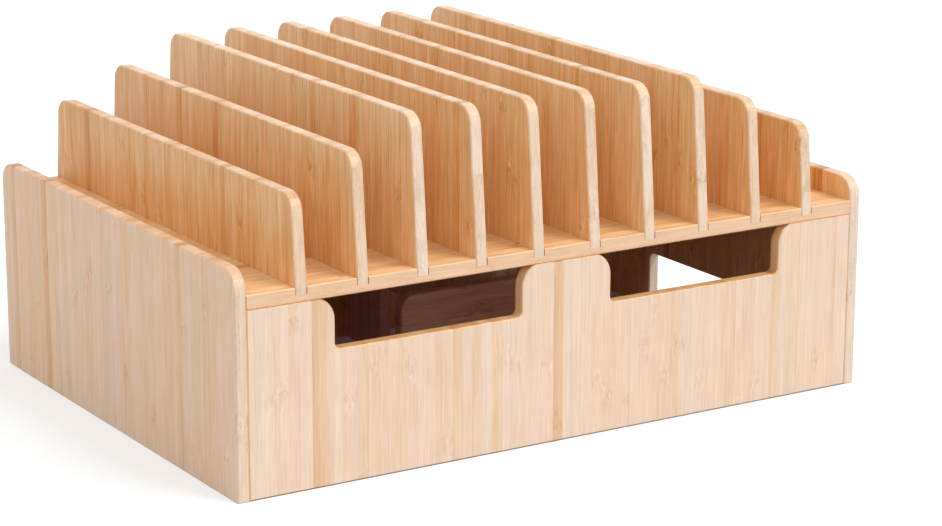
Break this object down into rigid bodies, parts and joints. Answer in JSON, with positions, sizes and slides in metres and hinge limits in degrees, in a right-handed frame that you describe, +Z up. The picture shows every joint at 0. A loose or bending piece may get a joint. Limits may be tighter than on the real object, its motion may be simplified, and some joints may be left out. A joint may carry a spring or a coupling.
{
  "type": "charging station organizer",
  "caption": "Bamboo desk organizer with upright dividers in a grooved shelf for phones and tablets, over a bay for a power strip with cord cut-outs in front.",
  "frame": {"origin": "centre of the footprint on the table", "axes": "+X along the width, to the right seen from the front; +Y from front to back; +Z up"},
  "size_m": [0.3492, 0.254, 0.1651],
  "materials": {
    "bamboo": "natural bamboo strips under a thin satin lacquer"
  },
  "bodies": {
    "root": {"left_side": "bamboo", "right_side": "bamboo", "shelf": "bamboo", "front_panel": "bamboo", "back_panel": "bamboo", "centre_partition": "bamboo", "cord_guard": "bamboo", "divider_1": "bamboo", "divider_2": "bamboo", "divider_3": "bamboo", "divider_4": "bamboo", "divider_5": "bamboo", "divider_6": "bamboo", "divider_7": "bamboo", "divider_8": "bamboo", "divider_9": "bamboo", "divider_10": "bamboo"}
  },
  "joints": []
}
